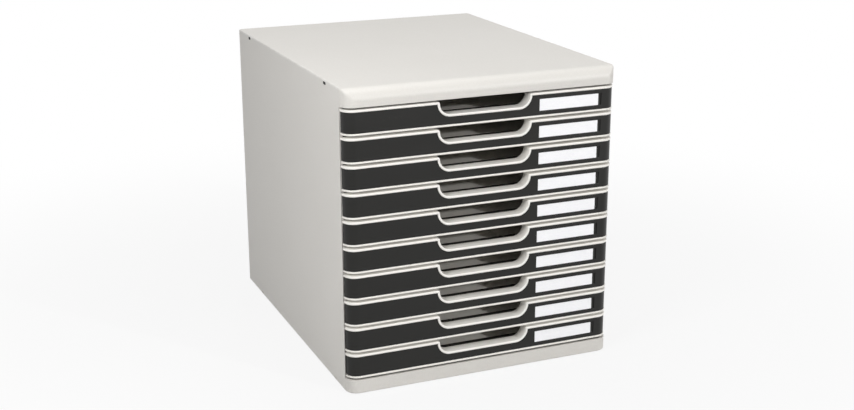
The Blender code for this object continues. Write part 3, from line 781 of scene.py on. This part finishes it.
# near-black linings that paint the shade inside the link holes, with specks of dust
SHADE_LINING, SHADE_LINING_DUST = (16, 16, 15), (48, 46, 43)
CARD_DEEP, CARD_PALE = (247, 247, 250), (253, 253, 254)
RUBBER, RUBBER_BLOOM = (34, 34, 34), (66, 64, 61)

# Depth of each finish's relief, and how far wear and dust reach
HOUSING_GRAIN, TRAY_GRAIN, FACING_GRAIN, CARD_GRAIN = 0.00004, 0.000012, 0.000014, 0.00001
SHADE_LINING_GRAIN, RUBBER_GRAIN = 0.00002, 0.00004
EDGE_REACH, FRONT_REACH = 0.0035, 0.006
FLOOR_DUST_SPAN = (TRAY_LIFT + TRAY_FLOOR - 0.0004, TRAY_LIFT + TRAY_FLOOR + 0.0012)
TRAY_HELD_SPAN = (SCOOP_HALF - 0.004, SCOOP_HALF + 0.012)
FACING_HELD_SPAN, FACING_HELD_RISE = (SCOOP_HALF - 0.01, SCOOP_HALF + 0.015), (0.004, 0.012)


def housing_plastic():
    """Light warm grey moulding: spark-eroded grain, faint flow clouds, handled edges."""
    finish = Finish("housing_grey", roughness=0.45)
    point, (x, y, z) = finish.place()
    flow = finish.cloud(point, size=0.12, detail=2)
    speck = finish.cloud(point, size=0.0011, detail=2, roughness=0.6)
    streaks = finish.cloud(point, size=0.018, detail=4, roughness=0.65, stretch=(1, 0.35, 1))
    scuff = finish.ramp(streaks, low=0.55, high=0.75)
    across = near_edge(finish, abs(x), HALF, EDGE_REACH)
    over = near_edge(finish, z, HEIGHT, EDGE_REACH)
    ahead = near_edge(finish, y, FRONT, FRONT_REACH)
    edge = finish.ramp(across * over + across * ahead * 0.6 + over * ahead, low=0.05, high=0.9)
    patches = finish.cloud(point, size=0.009, detail=4, roughness=0.6)
    wear = edge * finish.ramp(patches, low=0.35, high=0.65)
    body = finish.blend(flow, tone(GREY_DEEP), tone(GREY_PALE))
    body = finish.blend(finish.ramp(speck, low=0.3, high=0.75) * 0.5, body, tone(GREY_SPECK))
    body = finish.blend(wear * 0.45, body, tone(GREY_WORN))
    fine = finish.cloud(point, size=0.00045, detail=3, roughness=0.55)
    coarse = finish.cloud(point, size=0.0016, detail=2)
    finish.bump(fine * 0.75 + coarse * 0.25, HOUSING_GRAIN)
    gloss = 0.47 - wear * 0.12 - scuff * 0.05 + (speck - 0.5) * 0.08
    return finish.surface(base_color=body, roughness=gloss)


def tray_plastic():
    """Off-white smooth moulding: slight flow lines, dust in the floor, polish at the finger cut."""
    finish = Finish("tray_white", roughness=0.36)
    point, (x, y, z) = finish.place()
    rise = (z - STACK_BASE) % PITCH
    flow = finish.cloud(point, size=0.05, stretch=(0.4, 1, 1))
    floor = finish.ramp(rise, *FLOOR_DUST_SPAN, start=1, end=0)
    dust = floor * finish.ramp(finish.cloud(point, size=0.02, detail=5, roughness=0.65), low=0.4, high=0.8)
    held = finish.ramp(abs(x), *TRAY_HELD_SPAN, start=1, end=0)
    body = finish.blend(flow, tone(WHITE_DEEP), tone(WHITE_PALE))
    body = finish.blend(floor * 0.3 + dust * 0.4, body, tone(WHITE_DUST))
    fine = finish.cloud(point, size=0.0006, detail=2)
    coarse = finish.cloud(point, size=0.006, detail=2)
    finish.bump(fine * 0.6 + coarse * 0.4, TRAY_GRAIN)
    gloss = 0.36 + dust * 0.2 - held * 0.06 + (finish.cloud(point, size=0.012, detail=4) - 0.5) * 0.1
    return finish.surface(base_color=body, roughness=gloss)


def facing_plastic():
    """Black satin strip: fine grain, handled gloss at the cut, faint dust."""
    finish = Finish("facing_black", roughness=0.3, specular=0.3)
    point, (x, y, z) = finish.place()
    rise = (z - STACK_BASE) % PITCH
    grain = finish.cloud(point, size=0.0005, roughness=0.6)
    held = finish.ramp(abs(x), *FACING_HELD_SPAN, start=1, end=0) * finish.ramp(rise, *FACING_HELD_RISE)
    cloud = finish.cloud(point, size=0.03, detail=4, roughness=0.6, stretch=(0.4, 1, 1.6))
    specks = finish.cloud(point, size=0.0022, detail=4, roughness=0.7)
    dust = finish.ramp(specks, low=0.6, high=0.85) * finish.ramp(cloud, low=0.4, high=0.7)
    body = finish.blend(cloud, tone(BLACK_DEEP), tone(BLACK_PALE))
    body = finish.blend(dust * 0.25, body, tone(BLACK_DUST))
    finish.bump(grain, FACING_GRAIN)
    gloss = 0.34 + (cloud - 0.5) * 0.12 - held * 0.07 + dust * 0.15
    return finish.surface(base_color=body, roughness=gloss)


def shade_socket_plastic():
    """Near-black matt lining, painted shade for the inside of the link holes: coarse grain and a little
    dust.
    """
    finish = Finish("shade_socket_dark", roughness=0.6, specular=0.2)
    point, _ = finish.place()
    dust = finish.ramp(finish.cloud(point, size=0.0012, detail=4, roughness=0.7), low=0.5, high=0.8)
    body = finish.blend(dust * 0.3, tone(SHADE_LINING), tone(SHADE_LINING_DUST))
    finish.bump(finish.cloud(point, size=0.0004), SHADE_LINING_GRAIN)
    gloss = 0.55 + dust * 0.2
    return finish.surface(base_color=body, roughness=gloss)


def card_stock():
    """White card: matted fibres and a hint of tooth."""
    finish = Finish("label_white", roughness=0.75, specular=0.3)
    point, _ = finish.place()
    fibre = finish.cloud(point, size=0.0012, detail=4, roughness=0.7, stretch=(0.5, 1, 1.4))
    body = finish.blend(finish.ramp(fibre, low=0.3, high=0.7), tone(CARD_DEEP), tone(CARD_PALE))
    finish.bump(fibre, CARD_GRAIN)
    gloss = 0.7 + (fibre - 0.5) * 0.2
    return finish.surface(base_color=body, roughness=gloss)


def foot_rubber():
    """Dark matt rubber with a dusty bloom."""
    finish = Finish("foot_rubber", roughness=0.8, specular=0.3)
    point, _ = finish.place()
    bloom = finish.ramp(finish.cloud(point, size=0.004, detail=5, roughness=0.65), low=0.4, high=0.75)
    body = finish.blend(bloom * 0.5, tone(RUBBER), tone(RUBBER_BLOOM))
    finish.bump(finish.cloud(point, size=0.0004), RUBBER_GRAIN)
    gloss = 0.78 + bloom * 0.12
    return finish.surface(base_color=body, roughness=gloss)


# Putting it together


def dress(piece, body, nodes, finish):
    """Gives a finished piece its material and its body, and hides the nodes that it stands for."""
    piece.data.materials.clear()
    piece.data.materials.append(finish)
    smoothed(piece)
    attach(piece, body)
    if nodes:
        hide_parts(*nodes)
    return piece


def housing():
    """The housing with its back panel, the dark linings that paint shade into its link holes, and its feet.
    """
    grey, rubber = housing_plastic(), foot_rubber()
    dress(housing_sleeve(), "housing", ["housing_shell"], grey)
    dress(back_plate(), "housing", ["back_panel"], grey)
    # dark linings: painted shade inside the link holes
    dress(painted_shade_sockets(), "housing", [], shade_socket_plastic())
    for name, place in foot_places().items():
        dress(foot_pad(name, *place), "housing", [f"foot_{name}"], rubber)


def drawers():
    """Ten drawers from the four shapes of one."""
    black = facing_plastic()
    patterns = [(tray(), "drawer_tray", tray_plastic(), "tray_white"),
                (facing(), "drawer_facing", black, "facing_black"),
                (label_card(), "label_card", card_stock(), "label_white"),
                # the black ledge is painted shade, a dark sheet in the shadow behind each throat
                (painted_shade_ledge(), SHADE_LEDGE_NAME, black, "facing_black")]
    for index in range(DRAWER_COUNT):
        number = f"{index + 1:02d}"
        lift = STACK_BASE + (DRAWER_COUNT - 1 - index) * PITCH
        for pattern, node, finish, slot in patterns:
            mesh = pattern.data.copy()
            mesh.transform(Matrix.Translation((0, FRONT, lift)))
            piece = bpy.data.objects.new(f"{node}_fine_{number}", mesh)
            bpy.context.scene.collection.objects.link(piece)
            nodes = [f"{node}_{number}"] if node != SHADE_LEDGE_NAME else []
            dress(piece, f"drawer_{number}", nodes, finish)
    for pattern, *_ in patterns:
        bpy.data.objects.remove(pattern)


# Stage, light and camera

FLOOR_SPAN, FLOOR_SHADE = 14, 0.62
WHITE_REACH, SHADOW_SHARE = (0.25, 0.9), 0.86
LAMPS = {
    # name: (place, aim, size, watts)
    "key": ((1.59, -2.72, 1.18), (0, -0.18, 0.15), 0.12, 48),
    "side": ((-0.75, -0.56, 0.7), (-0.14, -0.1, 0.2), 0.4, 5.7),
    "near": ((0.6, -0.55, 0.8), (0.12, -0.15, 0.29), 0.5, 0.9),
    "top": ((0.1, 0.2, 2.2), (0, 0, 0.2), 2.0, 26),
    "behind": ((0.35, 1.3, 0.12), (0, 0.1, 0.12), 0.3, 5),
}
WORLD_LEVEL = 0.06
CAMERA_PLACE = (-0.5374, -1.3196, 0.5661)
CAMERA_ANGLES = (73.064, 0.116, -22.933)
CAMERA_LENS, CAMERA_SHIFT = 56.91, -0.00585
SENSOR_WIDTH, CLIP_NEAR, CLIP_FAR = 36, 0.05, 50


def seen_rays(graph):
    """1 for the rays that see the backdrop: from the camera, in gloss or through glass."""
    rays = [graph.node("ShaderNodeLightPath", out=name)
            for name in ("Is Camera Ray", "Is Glossy Ray", "Is Transmission Ray")]
    total = sum(rays)
    return total.math("MINIMUM", total, 1)


def floor():
    """A pale floor that shows white to the camera and keeps the object's soft shadow."""
    bm = bmesh.new()
    bmesh.ops.create_grid(bm, x_segments=1, y_segments=1, size=FLOOR_SPAN / 2)
    ground = as_piece(bm, "floor")
    finish = Finish("pale_floor", roughness=0.9, specular=0.1)
    finish.surface(base_color=(FLOOR_SHADE, FLOOR_SHADE, FLOOR_SHADE, 1))
    point, _ = finish.place()
    reach = finish.node("ShaderNodeVectorMath", {"operation": "LENGTH"}, {0: point}, "Value")
    share = seen_rays(finish) * finish.ramp(reach, *WHITE_REACH, SHADOW_SHARE, 1)
    white = finish.node("ShaderNodeEmission", {}, {"Color": (1, 1, 1, 1)})
    shaded = Value(finish, finish.shader.outputs[0])
    mixed = finish.node("ShaderNodeMixShader", {}, {0: share, 1: shaded, 2: white})
    finish.feed(finish.tree.nodes["Material Output"].inputs["Surface"], mixed)
    ground.data.materials.append(finish.material)


def light():
    """Soft lamps and an even world at a plain level."""
    world = bpy.data.worlds.new("studio")
    bpy.context.scene.world = world
    world.use_nodes = True
    graph = Graph(world.node_tree)
    seen = seen_rays(graph)
    backdrop = world.node_tree.nodes["Background"]
    graph.feed(backdrop.inputs["Color"], (1, 1, 1, 1))
    graph.feed(backdrop.inputs["Strength"], seen + WORLD_LEVEL * (1 - seen))
    for name, (place, aim, size, watts) in LAMPS.items():
        lamp = bpy.data.lights.new(name, "AREA")
        lamp.shape, lamp.size, lamp.energy = "SQUARE", size, watts
        holder = bpy.data.objects.new(name, lamp)
        holder.location = place
        holder.rotation_euler = (Vector(aim) - Vector(place)).to_track_quat("-Z", "Y").to_euler()
        bpy.context.scene.collection.objects.link(holder)


def camera():
    """The photograph's viewpoint."""
    lens = bpy.data.cameras.new("portrait")
    lens.sensor_width, lens.lens = SENSOR_WIDTH, CAMERA_LENS
    lens.shift_x = lens.shift_y = CAMERA_SHIFT
    lens.clip_start, lens.clip_end = CLIP_NEAR, CLIP_FAR
    holder = bpy.data.objects.new("portrait", lens)
    holder.location = CAMERA_PLACE
    holder.rotation_euler = Euler([radians(angle) for angle in CAMERA_ANGLES])
    bpy.context.scene.collection.objects.link(holder)
    bpy.context.scene.camera = holder


camera()
floor()
light()
housing()
drawers()
bpy.context.scene.view_settings.view_transform = "Standard"
bpy.context.view_layer.update()
